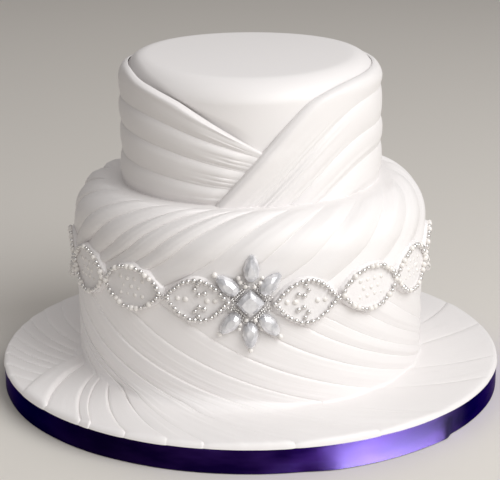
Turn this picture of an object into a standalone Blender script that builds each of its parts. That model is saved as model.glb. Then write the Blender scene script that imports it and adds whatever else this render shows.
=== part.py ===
"""A two-tier wedding cake dressed like a draped gown, on its iced and ribboned board.

Units are metres, +Z is up, and the origin is under the middle of the board, on the table.
Angles go round the cake in degrees from the front (-Y), and grow towards +X.
The climb of a point is its distance up a tier's side, over the rounded rim and in along the
top. Its lift is how far it stands off the smooth icing.
"""

import math
from collections import namedtuple

import bmesh
import bpy
import numpy as np
from mathutils import Matrix, Vector

mm = 0.001
GAP = 0.3 * mm  # air left between neighbouring pieces
BED = 0.8 * mm  # air under a draped sheet, whose flat facets cut the corners of the curve

# The board: a 12 inch drum with a skin of icing and a 15 mm ribbon round its edge.
DRUM_RADIUS = 152.4 * mm
DRUM_HEIGHT = 12.0 * mm
BOARD_ICING = 2.7 * mm
BOARD_TOP = DRUM_HEIGHT + GAP + BOARD_ICING
RIBBON_WIDTH = 14.8 * mm
RIBBON_THICKNESS = 0.5 * mm
RIBBON_FOOT = 0.5 * mm
RIBBON_LAP = 9.0  # degrees by which its ends overlap at the back

# The tiers: an 8 inch cake and a 6 inch cake, each under a smooth coat of icing.
Tier = namedtuple("Tier", "radius base height rim")
LOWER = Tier(101.5 * mm, BOARD_TOP + GAP, 108.2 * mm, 19.0 * mm)
UPPER = Tier(75.5 * mm, LOWER.base + LOWER.height + GAP, 79.2 * mm, 15.0 * mm)

# The draped sheets of icing.
SHEET = 2.9 * mm  # thickness at the bottom of a fold
DRAPE_SHEET = 2.3 * mm
HEM_SHEET = 1.0 * mm  # thickness of the drapes' top edge round the sides and back
BELT_CLIMB = 65.6 * mm  # height of the belt's middle line above the lower tier's foot
SHELF_EDGE = 76.2 * mm  # radius at which the bodice sheet ends, under the upper drapes
BODICE_RELIEF = 1.9 * mm
SKIRT_RELIEF = 1.9 * mm
SKIRT_FLARE = 1.4 * mm
DRAPE_RELIEF = 1.5 * mm
HEM_ROLL = 0.8 * mm  # extra thickness of the rolled hem at the front
DRAPE_FOOT = SHEET + BED + GAP  # the upper drapes stand on the bodice sheet
BACK_SEAM = 180.0

# Where each fold of the bodice crosses the line 80 mm up, in degrees round the cake.
BODICE_FOLDS = (
    -70, -53, -43, -31, -14, 2, 19, 35, 53, 70, 88,
    104, 121, 139, 156, 172, 188, 205, 221, 238, 255, 272,
)
# Where each fold of the skirt leaves the belt.
SKIRT_FOLDS = (
    -79, -67, -55, -35, -16, -1, 13, 24, 39, 53, 70, 86,
    103, 120, 138, 155, 172, 190, 207, 224, 243, 262,
)
# The two drapes of the upper tier as (angle, climb) of each fold's front end, and the climb at
# which the fold runs on round the side and back.
RIGHT_FOLDS = (
    (-15.0, 0.0, 70.5), (-6.0, 0.0, 63.5), (3.0, 0.0, 56.0), (16.0, 0.0, 37.0),
    (30.0, 0.0, 22.0), (51.0, 0.0, 0.0),
)
LEFT_FOLDS = (
    (4.0, 31.0, 73.0), (3.0, 29.3, 62.0), (1.8, 27.5, 51.0), (-3.4, 19.5, 35.5),
    (-9.0, 10.0, 18.0), (-15.6, 0.0, 0.0),
)
# Folds of the strips on the board, as degrees where they leave the skirt.
FRONT_STRIPS = (
    -76, -68.5, -62, -58.5, -53, -44.5, -36, -28, -20, -9, 0,
    9, 17, 30, 44, 65, 90, 106, 124, 142, 160, 180,
)
SIDE_STRIPS = (-175, -167, -155, -140, -125, -110, -98, -89, -79, -71, -63, -55, -47)
STRIP_START = 110.0 * mm
STRIP_END = 153.0 * mm
STRIP_THICKNESS = 1.3 * mm
STRIP_RELIEF = 1.3 * mm
SIDE_TWIST = -0.55  # degrees a side strip turns for each millimetre it runs outwards

# The belt and its brooch.
LEAF_COUNT = 16
LEAF_LENGTH = 39.5 * mm
LEAF_HEIGHT = 27.0 * mm
LEAF_THICKNESS = 1.8 * mm
LEAF_DOME = 0.9 * mm
LEAF_LIFT = BED + SHEET + BODICE_RELIEF + GAP
BROOCH_HALF_ANGLE = 6.0  # degrees of the belt that the brooch takes on each side
STONE_LIFT = LEAF_LIFT
SQUARE_STONE = 12.2 * mm
DROP_STONE = (16.2 * mm, 7.8 * mm)  # length and width
STONE_HEIGHT = 5.0 * mm
# Direction of each drop stone from the brooch's middle, and how far out its middle lies.
DROPS = {
    "top": (90, 20.5 * mm),
    "upper_left": (141, 16.8 * mm),
    "lower_left": (221, 16.8 * mm),
    "bottom": (270, 18.5 * mm),
    "lower_right": (309, 16.8 * mm),
    "upper_right": (45, 16.8 * mm),
}


def start_collection(name):
    """Empties the scene and returns a new collection for the cake."""
    for obj in list(bpy.data.objects):
        bpy.data.objects.remove(obj, do_unlink=True)
    collection = bpy.data.collections.new(name)
    bpy.context.scene.collection.children.link(collection)
    return collection


def make_material(name, colour, roughness, metallic=0.0):
    material = bpy.data.materials.new(name)
    material.use_nodes = True
    shader = material.node_tree.nodes["Principled BSDF"]
    shader.inputs["Base Color"].default_value = (*colour, 1.0)
    shader.inputs["Roughness"].default_value = roughness
    shader.inputs["Metallic"].default_value = metallic
    return material


def add_object(name, mesh, material, crease=40.0):
    """Puts a mesh into the cake's collection as one named, smoothly shaded sub-part."""
    mesh.materials.append(material)
    mesh.shade_smooth()
    mesh.set_sharp_from_angle(angle=math.radians(crease))
    obj = bpy.data.objects.new(name, mesh)
    cake.objects.link(obj)
    return obj


def turned(name, profile, steps, material):
    """A solid of revolution about Z. The profile runs down its outer side, from axis to axis."""
    outline = bmesh.new()
    points = [outline.verts.new((radius, 0.0, height)) for radius, height in profile]
    for upper, lower in zip(points, points[1:]):
        outline.edges.new((upper, lower))
    mesh = bpy.data.meshes.new(name)
    outline.to_mesh(mesh)
    outline.free()
    obj = add_object(name, mesh, material)
    screw = obj.modifiers.new("Turn", "SCREW")
    screw.steps = screw.render_steps = steps
    screw.use_merge_vertices = True
    screw.merge_threshold = 0.00005
    return obj


def tier_profile(tier, rim_steps=3):
    """Half outline of a tier: flat top, rounded rim, straight side and flat foot."""
    middle = tier.radius - tier.rim
    shoulder = tier.base + tier.height - tier.rim
    profile = [(0.0, tier.base + tier.height)]
    for step in range(rim_steps + 1):
        turn = math.pi / 2 * (1 - step / rim_steps)
        profile.append((middle + tier.rim * math.cos(turn), shoulder + tier.rim * math.sin(turn)))
    return profile + [(tier.radius, tier.base), (0.0, tier.base)]


def around(angle, radius, height):
    """The point at an angle round the cake."""
    turn = math.radians(angle)
    return Vector((radius * math.sin(turn), -radius * math.cos(turn), height))


def skin(tier, angle, climb, lift):
    """The point of a tier's surface at an angle and a climb, lifted off along the normal."""
    side = tier.height - tier.rim
    arc = tier.rim * math.pi / 2
    if climb <= side:
        return around(angle, tier.radius + lift, tier.base + climb)
    if climb <= side + arc:
        turn = (climb - side) / tier.rim
        reach = tier.rim + lift
        radius = tier.radius - tier.rim + reach * math.cos(turn)
        return around(angle, radius, tier.base + side + reach * math.sin(turn))
    radius = tier.radius - tier.rim - (climb - side - arc)
    return around(angle, radius, tier.base + tier.height + lift)


def fade(value, start, end):
    """0 before start, 1 after end, smooth between them; start may be the larger."""
    share = min(max((value - start) / (end - start), 0.0), 1.0)
    return share * share * (3 - 2 * share)


def pleat(share, crest=0.8):
    """Height of one pleat, from its valley at 0 over a crest and steeply down to 1."""
    if share < crest:
        return math.sin(math.pi / 2 * share / crest)
    return math.cos(math.pi / 2 * (share - crest) / (1 - crest))


def fold_samples(count, shares=(0.0, 0.4, 0.8)):
    """Fold positions at which a sheet gets a row of points: three for each pleat."""
    return [fold + share for fold in range(count) for share in shares] + [float(count)]


def between(stops, position):
    """Value at a fractional index into a list of stops."""
    return float(np.interp(position, range(len(stops)), stops))


def relief(position):
    """Pleat height at a fold position, where whole numbers are the valleys."""
    return pleat(position % 1.0)


def slab(columns, rows, closed):
    """A one-thick lattice and the (column, row, layer) of each of its points."""
    sheet = bmesh.new()
    if closed:
        bmesh.ops.create_cone(
            sheet, cap_ends=False, segments=columns, radius1=1.0, radius2=1.0, depth=1.0
        )
        upright = [e for e in sheet.edges if abs(e.verts[0].co.z - e.verts[1].co.z) > 0.5]
        bmesh.ops.subdivide_edges(sheet, edges=upright, cuts=rows - 1, use_grid_fill=True)
    else:
        bmesh.ops.create_grid(sheet, x_segments=columns, y_segments=rows, size=1.0)
    inner = list(sheet.verts)
    grown = bmesh.ops.extrude_face_region(sheet, geom=list(sheet.faces), use_keep_orig=True)
    outer = {v for v in grown["geom"] if isinstance(v, bmesh.types.BMVert)}
    places = {}
    for v in [*inner, *outer]:
        if closed:
            turn = math.atan2(v.co.x, v.co.y) / math.tau % 1.0
            column, row = round(turn * columns) % columns, round((v.co.z + 0.5) * rows)
        else:
            column, row = round((v.co.x + 1) / 2 * columns), round((v.co.y + 1) / 2 * rows)
        places[v] = (column, row, 1 if v in outer else 0)
    return sheet, places


def add_sheet(name, across, along, place, material, closed=False):
    """A sheet of even topology whose point (a, b, layer) lies at place(a, b, layer).

    across and along list the values of a and b; layer is 0 underneath and 1 on show. A closed
    sheet joins its last column to its first, so its last value of a is left out.
    """
    columns = len(across) - 1
    sheet, places = slab(columns, len(along) - 1, closed)
    for vertex, (column, row, layer) in places.items():
        vertex.co = place(across[column], along[row], layer)
    bmesh.ops.triangulate(sheet, faces=sheet.faces, quad_method="SHORT_EDGE")
    bmesh.ops.recalc_face_normals(sheet, faces=sheet.faces)
    if sheet.calc_volume(signed=True) < 0:
        bmesh.ops.reverse_faces(sheet, faces=sheet.faces)
    mesh = bpy.data.meshes.new(name)
    sheet.to_mesh(mesh)
    sheet.free()
    return add_object(name, mesh, material)


# ---- board ----------------------------------------------------------------------------------


def make_board():
    turned("board_drum", [
        (0.0, DRUM_HEIGHT), (DRUM_RADIUS, DRUM_HEIGHT), (DRUM_RADIUS, 0.0), (0.0, 0.0),
    ], 64, foil)
    foot = DRUM_HEIGHT + GAP
    turned("board_icing", [
        (0.0, BOARD_TOP), (DRUM_RADIUS, BOARD_TOP), (DRUM_RADIUS, foot), (0.0, foot),
    ], 64, icing)


def make_ribbon():
    """A band wound once round the drum, with its end lapped over its start at the back."""
    start = BACK_SEAM - RIBBON_LAP

    def place(angle, share, layer):
        lap = fade(angle, start + 360 - 6, start + 360) * (RIBBON_THICKNESS + GAP)
        radius = DRUM_RADIUS + GAP + lap + layer * RIBBON_THICKNESS
        return around(angle, radius, RIBBON_FOOT + share * RIBBON_WIDTH)

    turns = [*np.linspace(start, start + 354, 60), start + 357, start + 360]
    turns.append(start + 360 + RIBBON_LAP)
    add_sheet("ribbon", turns, [0.0, 1.0], place, satin)


def strip_twist(start):
    """Degrees that a front strip turns for each millimetre it runs outwards."""
    return float(np.interp(start, (-76, -62, -45, 17, 44, 65, 180), (0.3, 0.56, 0.6, 0.58, 0.5, 0.36, 0.25)))


def make_board_strips():
    """Pleated strips that carry the skirt's folds out to the edge of the board.

    The front strips curl one way and the side strips the other, and the side strips run under
    the first front strip.
    """
    reach = (STRIP_END - STRIP_START) / mm
    front_edge = FRONT_STRIPS[0]
    lap = strip_twist(front_edge)
    seam_twist = strip_twist(BACK_SEAM)

    def surface(angle, outwards, height, layer):
        radius = STRIP_START + outwards * mm
        droop = layer * fade(outwards, reach - 4, reach) * 0.8 * mm
        base = BOARD_TOP + GAP
        return around(angle, radius, base + layer * (STRIP_THICKNESS + height) - droop)

    def front(fold, share, layer):
        start = between(FRONT_STRIPS, fold)
        outwards = share * reach
        height = STRIP_RELIEF * relief(fold) * fade(share, -0.2, 0.3)
        return surface(start + strip_twist(start) * outwards, outwards, height, layer)

    def side(fold, share, layer):
        start = between(SIDE_STRIPS, fold)
        nearest = max(0.0, (start + 1.0 - front_edge) / (lap - SIDE_TWIST))
        farthest = min(reach, (start - 0.5 + 360 - BACK_SEAM) / (seam_twist - SIDE_TWIST))
        outwards = nearest + (farthest - nearest) * share
        height = 0.7 * STRIP_RELIEF * relief(fold)
        return surface(start + SIDE_TWIST * outwards, outwards, height, layer)

    steps = [0.0, 0.4, 0.9, 1.0]
    for name, folds, place in (("front", FRONT_STRIPS, front), ("side", SIDE_STRIPS, side)):
        across = fold_samples(len(folds) - 1, (0.0, 0.6))
        add_sheet(f"board_strips_{name}", across, steps, place, icing)


# ---- tiers ----------------------------------------------------------------------------------


def ring_of(folds):
    """The folds of a closed sheet, with the first one again after a full turn."""
    return [*folds, folds[0] + 360]


def make_bodice():
    """The sheet over the lower tier's shelf and rim, whose folds sweep down to the left."""
    folds = ring_of(BODICE_FOLDS)
    start = BELT_CLIMB + GAP
    shoulder = LOWER.height - LOWER.rim
    shelf = shoulder + LOWER.rim * math.pi / 2
    end = shelf + LOWER.radius - LOWER.rim - SHELF_EDGE

    def sweep(climb):
        rise = climb / mm - 80
        return 0.55 * rise + 0.008 * rise * abs(rise)

    def place(fold, climb, layer):
        height = BODICE_RELIEF * relief(fold) * (0.35 + 0.65 * fade(climb, start, start + 12 * mm))
        height *= fade(climb, shelf - 0.5 * mm, shelf - 8 * mm)
        return skin(LOWER, between(folds, fold) + sweep(climb), climb, BED + layer * (SHEET + height))

    climbs = [start, start + 10 * mm, *np.linspace(shoulder, shelf, 5), end]
    across = fold_samples(len(folds) - 1, (0.0, 0.6))
    add_sheet("bodice_drape", across, climbs, place, icing, closed=True)


def make_skirt():
    """The sheet below the belt, whose folds sweep down to the right and out at the foot."""
    folds = ring_of(SKIRT_FOLDS)
    top = BELT_CLIMB - GAP

    def sweep(climb):
        fall = 47 - climb / mm
        return 0.85 * fall + 0.0075 * fall * abs(fall)

    def place(fold, climb, layer):
        height = SKIRT_RELIEF * relief(fold) * (0.35 + 0.65 * fade(climb, top, top - 12 * mm))
        flare = SKIRT_FLARE * fade(climb, 14 * mm, 0.0) ** 2
        lift = BED + layer * (SHEET + height + flare)
        return skin(LOWER, between(folds, fold) + sweep(climb), climb, lift)

    climbs = [share * top for share in (0.003, 0.08, 0.19, 0.31, 0.43, 0.55, 0.67, 0.82, 1.0)]
    across = fold_samples(len(folds) - 1, (0.0, 0.6))
    add_sheet("skirt_drape", across, climbs, place, icing, closed=True)


def fold_climb(run, start, level, knee, softness=8.0):
    """Climb along a fold, in mm: it rises from its start and levels off after knee degrees."""
    if knee < 0.1:
        return level
    bend = math.log1p(math.exp((knee - run) / softness)) / math.log1p(math.exp(knee / softness))
    return level - (level - start) * bend


def make_neckline():
    """The two crossed drapes of the upper tier. The right one passes over the left one.

    Each is an open sheet from its front edge to the seam at the back, where they meet.
    """
    overlap = 0.9  # degrees from the right drape's front edge to the left drape's end
    seam = BACK_SEAM - 0.15

    def lift(folds, fold, run, layer):
        gathered = 0.45 + 0.55 * fade(run, 0.0, 18.0)
        last = len(folds) - 1
        height = DRAPE_RELIEF * relief(fold) * gathered * fade(fold, last, last - 0.7)
        hem = fade(fold, 0.9, 0.0)
        beyond = fade(run, 35.0, 75.0)
        height += hem * ((1 - beyond) * HEM_ROLL + beyond * (HEM_SHEET - DRAPE_SHEET))
        return BED + layer * (DRAPE_SHEET + height)

    def right(fold, share, layer):
        foot, start, level = (between(column, fold) for column in zip(*RIGHT_FOLDS))
        run = (seam - foot) * share**1.15
        climb = fold_climb(run, start, level, level / (1.55 - 0.1 * fold)) * mm
        return skin(UPPER, foot + run, DRAPE_FOOT + climb, lift(RIGHT_FOLDS, fold, run, layer))

    def left(fold, share, layer):
        foot, start, level = (between(column, fold) for column in zip(*LEFT_FOLDS))
        run = (seam + foot - overlap) * share**1.15
        climb = fold_climb(run, start, level, 52.0) * mm
        angle = foot - overlap - run
        return skin(UPPER, angle, DRAPE_FOOT + climb, lift(LEFT_FOLDS, fold, run, layer))

    shares = np.linspace(0.0, 1.0, 15)
    for name, folds, place in (("right", RIGHT_FOLDS, right), ("left", LEFT_FOLDS, left)):
        add_sheet(f"neckline_drape_{name}", fold_samples(len(folds) - 1), shares, place, icing)


# ---- belt -----------------------------------------------------------------------------------


def make_belt():
    """Leaf-shaped plaques laid tip to tip round the lower tier."""
    pitch = (360 - 2 * BROOCH_HALF_ANGLE) / LEAF_COUNT
    radius = LOWER.radius + LEAF_LIFT
    for number in range(LEAF_COUNT):
        middle = BROOCH_HALF_ANGLE + pitch * (number + 0.5)

        def place(along, across, layer, middle=middle):
            outline = math.cos(math.pi / 2 * 0.97 * along) ** 0.8
            angle = middle + math.degrees(along * LEAF_LENGTH / 2 / radius)
            climb = BELT_CLIMB + across * outline * LEAF_HEIGHT / 2
            dome = LEAF_DOME * (1 - across**2) * outline
            return skin(LOWER, angle, climb, LEAF_LIFT + layer * (LEAF_THICKNESS + dome))

        lengths = [-1.0, -0.82, -0.45, 0.0, 0.45, 0.82, 1.0]
        add_sheet(f"belt_leaf_{number + 1:02d}", lengths, [-1.0, 0.0, 1.0], place, plaque)


def gem(name, outline, corners, height, frame):
    """A flat-backed cut stone: an upright girdle, two slanting crowns and a flat table.

    outline gives the girdle's point for a turn round the stone's middle.
    """
    stone = bmesh.new()
    girdle = 0.3
    bmesh.ops.create_cone(
        stone, cap_ends=True, segments=corners, radius1=1.0, radius2=1.0, depth=girdle
    )
    table = max(stone.faces, key=lambda face: face.calc_center_median().z)
    for width, rise in ((0.28, 0.45), (0.32, 0.25)):
        bmesh.ops.inset_region(stone, faces=[table], thickness=width, depth=rise)
    for vertex in stone.verts:
        turn = math.atan2(vertex.co.y, vertex.co.x)
        reach = math.hypot(vertex.co.x, vertex.co.y)
        x, y = outline(turn)
        vertex.co = (x * reach, y * reach, (vertex.co.z + girdle / 2) * height)
    bmesh.ops.recalc_face_normals(stone, faces=stone.faces)
    stone.transform(frame)
    mesh = bpy.data.meshes.new(name)
    stone.to_mesh(mesh)
    stone.free()
    return add_object(name, mesh, crystal, crease=1.0)


def brooch_frame(sideways, upwards, turn):
    """Places a stone's flat back on the belt, at a distance from the brooch's middle."""
    angle = sideways / (LOWER.radius + STONE_LIFT)
    point = skin(LOWER, math.degrees(angle), BELT_CLIMB + upwards, STONE_LIFT)
    stand = Matrix.Rotation(angle, 4, "Z") @ Matrix.Rotation(math.pi / 2, 4, "X")
    return Matrix.Translation(point) @ stand @ Matrix.Rotation(math.radians(turn), 4, "Z")


def make_brooch():
    """A square stone stood on its corner, with six drop stones pointing away from it."""
    length, width = DROP_STONE

    def square(turn):
        corner = (abs(math.cos(turn)) ** 5 + abs(math.sin(turn)) ** 5) ** (-1 / 5)
        return SQUARE_STONE / 2 * corner * math.cos(turn), SQUARE_STONE / 2 * corner * math.sin(turn)

    def drop(turn):
        taper = 1 - 0.34 * math.cos(turn) - 0.14 * math.cos(turn) ** 2
        return length / 2 * math.cos(turn), width / 2 * math.sin(turn) * taper

    gem("stone_square", square, 16, STONE_HEIGHT * 1.2, brooch_frame(0.0, 0.0, 45.0))
    for place, (direction, distance) in DROPS.items():
        turn = math.radians(direction)
        frame = brooch_frame(distance * math.cos(turn), distance * math.sin(turn), direction)
        gem(f"stone_{place}", drop, 10, STONE_HEIGHT * 0.9, frame)


cake = start_collection("wedding_cake")
icing = make_material("sugar_icing", (0.86, 0.84, 0.82), 0.55)
plaque = make_material("plaque_icing", (0.84, 0.80, 0.76), 0.6)
foil = make_material("board_foil", (0.72, 0.72, 0.74), 0.35, metallic=0.8)
satin = make_material("purple_satin", (0.06, 0.01, 0.22), 0.35)
crystal = make_material("pearl_crystal", (0.66, 0.67, 0.74), 0.15)

make_board()
make_ribbon()
make_board_strips()
turned("lower_tier", tier_profile(LOWER), 40, icing)
make_skirt()
make_bodice()
turned("upper_tier", tier_profile(UPPER), 60, icing)
make_neckline()
make_belt()
make_brooch()
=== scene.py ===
import math

import bmesh
import bpy
import numpy as np
from mathutils import Matrix, Vector


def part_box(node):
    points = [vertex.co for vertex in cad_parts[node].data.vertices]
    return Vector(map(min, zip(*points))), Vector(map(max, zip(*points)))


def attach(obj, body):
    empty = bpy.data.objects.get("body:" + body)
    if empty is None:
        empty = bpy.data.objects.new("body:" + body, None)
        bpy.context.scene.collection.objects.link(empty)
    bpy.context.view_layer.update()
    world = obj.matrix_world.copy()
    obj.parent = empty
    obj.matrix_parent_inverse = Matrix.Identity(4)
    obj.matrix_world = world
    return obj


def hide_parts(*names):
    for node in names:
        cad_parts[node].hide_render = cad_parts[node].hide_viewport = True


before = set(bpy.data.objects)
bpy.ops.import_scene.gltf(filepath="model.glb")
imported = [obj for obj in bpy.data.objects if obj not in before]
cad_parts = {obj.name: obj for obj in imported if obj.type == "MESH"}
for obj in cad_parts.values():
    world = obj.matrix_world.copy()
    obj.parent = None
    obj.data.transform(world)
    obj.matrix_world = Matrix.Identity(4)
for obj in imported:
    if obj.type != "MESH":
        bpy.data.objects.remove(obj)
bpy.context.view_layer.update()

mm = 0.001
quarter = math.pi / 2
backSeam = 180.0  # in degrees from the front


def boxOf(node):
    low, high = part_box(node)
    return Vector(low), Vector(high)


def tierFrom(node, rim, sunk=0.0):
    # the radius of its rounded rim, and how far its top has sunk at the front, in mm
    low, high = boxOf(node)
    tier = {"radius": high.x, "base": low.z, "height": high.z - low.z, "rim": rim * mm}
    # the sinking starts this far below the rim, and a higher lean keeps it closer to the front
    tier.update(sunk=sunk * mm, sunkFrom=6 * mm, sunkLean=2.2)
    return tier


lower = tierFrom("lower_tier", 19.0)
upper = tierFrom("upper_tier", 15.0, 7.2)
boardTop = boxOf("board_icing")[1].z
boardRadius = boxOf("board_drum")[1].x
beltRadius = -boxOf("stone_square")[1].y  # the flat back of the brooch's middle stone
beltClimb = (boxOf("stone_square")[0].z + boxOf("stone_square")[1].z) / 2 - lower["base"]
print("frame read: tiers", lower["radius"], upper["radius"])


# Materials: a Link is an output socket that takes part in sums, a Recipe is one material.
class Link:
    def __init__(self, recipe, socket):
        self.recipe = recipe
        self.socket = socket

    def sum(self, operation, first, second):
        return self.recipe.add("ShaderNodeMath", {"operation": operation}, [first, second])

    def __add__(self, other):
        return self.sum("ADD", self, other)

    def __mul__(self, other):
        return self.sum("MULTIPLY", self, other)

    def __pow__(self, other):
        return self.sum("POWER", self, other)

    __radd__ = __add__
    __rmul__ = __mul__


class Recipe:
    def __init__(self, name, finish):
        self.material = bpy.data.materials.new(name)
        self.material.use_nodes = True
        self.tree = self.material.node_tree
        self.shader = self.tree.nodes["Principled BSDF"]
        self.put(self.shader, finish)

    def put(self, node, values):
        pairs = values.items() if isinstance(values, dict) else enumerate(values)
        for key, value in pairs:
            if isinstance(value, Link):
                self.tree.links.new(value.socket, node.inputs[key])
            else:
                node.inputs[key].default_value = value

    def add(self, kind, settings, values, output=0):
        node = self.tree.nodes.new(kind)
        for key, value in settings.items():
            if key == "stops":
                self.setStops(node.color_ramp, value)
            else:
                setattr(node, key, value)
        self.put(node, values)
        return Link(self, node.outputs[output])

    def setStops(self, ramp, stops):
        while len(ramp.elements) < len(stops):
            ramp.elements.new(0.5)
        for element, (position, colour) in zip(ramp.elements, stops):
            element.position = position
            element.color = (*colour, 1.0)

    def place(self, stretch=(1, 1, 1), source="Object"):
        coordinates = self.add("ShaderNodeTexCoord", {}, [], source)
        return self.add("ShaderNodeMapping", {}, {"Vector": coordinates, "Scale": stretch})

    def noise(self, scale, detail=2.0, stretch=(1, 1, 1), source="Object"):
        values = {"Vector": self.place(stretch, source), "Scale": scale, "Detail": detail}
        return self.add("ShaderNodeTexNoise", {}, values)

    def mix(self, share, first, second):
        settings = {"data_type": "RGBA"}
        first, second = (c if isinstance(c, Link) else (*c, 1.0) for c in (first, second))
        return self.add("ShaderNodeMix", settings, {0: share, 6: first, 7: second}, 2)

    def ramp(self, value, stops):
        return self.add("ShaderNodeValToRGB", {"stops": stops}, {"Fac": value})

    def paint(self, tint, pattern, roughness):
        least, added = roughness
        self.put(self.shader, {"Base Color": tint, "Roughness": pattern * added + least})

    def dent(self, height, depth):
        bump = self.add("ShaderNodeBump", {}, {"Height": height, "Distance": depth})
        self.put(self.shader, {"Normal": bump})


# A finish has its tints, the scales of its patterns (higher is finer) and its roughness, as the
# least and what a pattern adds.
icingFinish = {
    "white": (0.866, 0.842, 0.834),
    "cream": (0.842, 0.814, 0.803),
    "patches": 14.0,
    "roughness": (0.40, 0.14),
    "grain": 1500.0,
    "grainHeight": 0.5,
    "lines": (420.0, 5.0, 1.0),  # faint lines along the folds: many across, few along
    "lineHeight": 1.6,
    "powder": 0.06 * mm,  # depth of the fine relief that icing sugar leaves
}


def makeIcing(name, streaked=False):
    icing = Recipe(name, {})
    patches = icing.noise(icingFinish["patches"], 3.0)
    tint = icing.mix(patches ** 2.0, icingFinish["white"], icingFinish["cream"])
    icing.paint(tint, patches, icingFinish["roughness"])
    height = icing.noise(icingFinish["grain"]) * icingFinish["grainHeight"]
    if streaked:
        lines = icing.noise(1.0, 3.0, icingFinish["lines"], "UV")
        height = height + lines * icingFinish["lineHeight"]
    icing.dent(height, icingFinish["powder"])
    return icing.material


satinFinish = {
    "threads": (60.0, 900.0, 1.0),
    "threadDepth": 0.03 * mm,
    "clouds": (22.0, 1.0, 1.0),
    "tints": [(0.38, (0.009, 0.002, 0.05)), (0.56, (0.029, 0.01, 0.105)), (0.72, (0.05, 0.027, 0.17))],
    "roughness": (0.3, 0.1),
    # stretches of the ribbon, as shares of its length from the back
    "flat": (0.2, 0.3, 0.42, 0.48),  # painted shade: the colour is darkest over this stretch at the left, where the ribbon lies flat
    "flatShadeTint": (0.002, 0.001, 0.008),
    "flatShadeShare": 0.7,
    "loose": (0.534, 0.55, 0.612, 0.642),  # and a painted highlight, palest, at the front right where it stands off, which also gets more coat
    "looseHighlightTint": (0.066, 0.05, 0.16),
    "looseHighlightShare": 0.4,
    "looseCoat": 0.5,
}


def makeSatin():
    satin = Recipe("purpleSatin", {
        "Metallic": 1.0, "Anisotropic": 0.9, "Anisotropic Rotation": 0.25,
        "Specular Tint": (0.35, 0.25, 0.6, 1.0), "Coat Roughness": 0.3,
    })
    along = satin.add("ShaderNodeSeparateXYZ", {}, [satin.place(source="UV")])

    def stretchOf(marks):
        return satin.ramp(along, [(mark, (shade,) * 3) for mark, shade in zip(marks, (0, 1, 1, 0))])

    clouds = satin.noise(1.0, 3.0, satinFinish["clouds"], "UV")
    loose = stretchOf(satinFinish["loose"])
    tint = satin.ramp(clouds, satinFinish["tints"])
    # painted shade: the colour is darkened towards the left
    tint = satin.mix(stretchOf(satinFinish["flat"]) * satinFinish["flatShadeShare"], tint, satinFinish["flatShadeTint"])
    # painted highlight: the colour is paler at the front right
    tint = satin.mix(loose * satinFinish["looseHighlightShare"], tint, satinFinish["looseHighlightTint"])
    satin.paint(tint, clouds, satinFinish["roughness"])
    satin.put(satin.shader, {"Coat Weight": loose * satinFinish["looseCoat"]})
    satin.dent(satin.noise(1.0, 2.0, satinFinish["threads"], "UV"), satinFinish["threadDepth"])
    return satin.material


# These patterns are (scale, detail). The tints either mix or are stops of a ramp.
finishes = {
    "boardFoil": {
        "values": {"Metallic": 0.85},
        "tints": ((0.80, 0.80, 0.81), (0.88, 0.88, 0.88)), "mottle": (35.0, 2.0),
        "roughness": (0.22, 0.2), "wear": (90.0, 2.0),
        "dents": (240.0, 2.0), "depth": 0.08 * mm,
    },
    "silverBead": {
        "values": {"Metallic": 0.9},
        "tints": ((0.70, 0.68, 0.665), (0.93, 0.92, 0.91)), "mottle": (260.0, 2.0),
        "roughness": (0.1, 0.2), "wear": (420.0, 2.0),
    },
    "ivoryPearl": {
        "values": {"Coat Weight": 0.7, "Coat Roughness": 0.12},
        "tints": ((0.90, 0.88, 0.85), (0.87, 0.83, 0.79)), "mottle": (150.0, 2.0),
        "roughness": (0.18, 0.15), "wear": (500.0, 2.0),
    },
    "lilacCrystal": {
        "values": {"Coat Weight": 1.0, "Coat Roughness": 0.03, "Metallic": 0.35},
        "stops": [(0.3, (0.53, 0.535, 0.565)), (0.68, (0.91, 0.91, 0.935))], "mottle": (210.0, 3.0),
        "roughness": (0.1, 0.12), "wear": (210.0, 3.0),
    },
    "plaqueIcing": {
        "values": {},
        "tints": ((0.90, 0.875, 0.87), (0.86, 0.835, 0.83)), "mottle": (210.0, 2.0),
        "roughness": (0.35, 0.2), "wear": (210.0, 2.0),
        "dents": (420.0, 3.0), "depth": 0.25 * mm,
    },
}


def makeFinish(name):
    finish = finishes[name]
    recipe = Recipe(name, finish["values"])
    tint = recipe.noise(*finish["mottle"])
    tint = recipe.ramp(tint, finish["stops"]) if "stops" in finish else recipe.mix(tint, *finish["tints"])
    recipe.paint(tint, recipe.noise(*finish["wear"]), finish["roughness"])
    if "dents" in finish:
        recipe.dent(recipe.noise(*finish["dents"]), finish["depth"])
    return recipe.material


icing = makeIcing("sugarIcing")
drapedIcing = makeIcing("drapedIcing", streaked=True)
satin = makeSatin()
foil = makeFinish("boardFoil")
silver = makeFinish("silverBead")
pearl = makeFinish("ivoryPearl")
crystal = makeFinish("lilacCrystal")
plaqueIcing = makeFinish("plaqueIcing")
print("materials made")


# Shapes shared by the draped pieces. Angles are in degrees from the front, lengths in metres
# unless a note says mm.
def shareOf(value, start, end):
    # 0 up to start and 1 from end on
    return np.clip((value - start) / (end - start), 0.0, 1.0)


def fade(value, start, end):
    # the same, softly
    share = shareOf(value, start, end)
    return share * share * (3 - 2 * share)


def within(value, start, full, ebb, end):
    # 1 from full to ebb, 0 before start and after end
    return fade(value, start, full) * fade(value, end, ebb)


def blend(first, last, share):
    return first + (last - first) * share


def roundedEdge(fromEdge, width):
    # height of an edge rounded over a width, as a share of the height behind it
    return np.sqrt(1 - (1 - shareOf(fromEdge, 0, width)) ** 2)


def bendAt(path, start, radius):
    # angle of a quarter turn that begins at start
    return np.clip((path - start) / radius, 0.0, quarter)


def facingOf(angle):
    # the angle as one from -180 to 180
    return (angle + 180) % 360 - 180


def leanOf(look, away):
    # turn of a leaning, curving fold, away mm from where it crosses its angle
    slope, curve = look["lean"]
    return slope * away + curve * away * np.abs(away)


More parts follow.
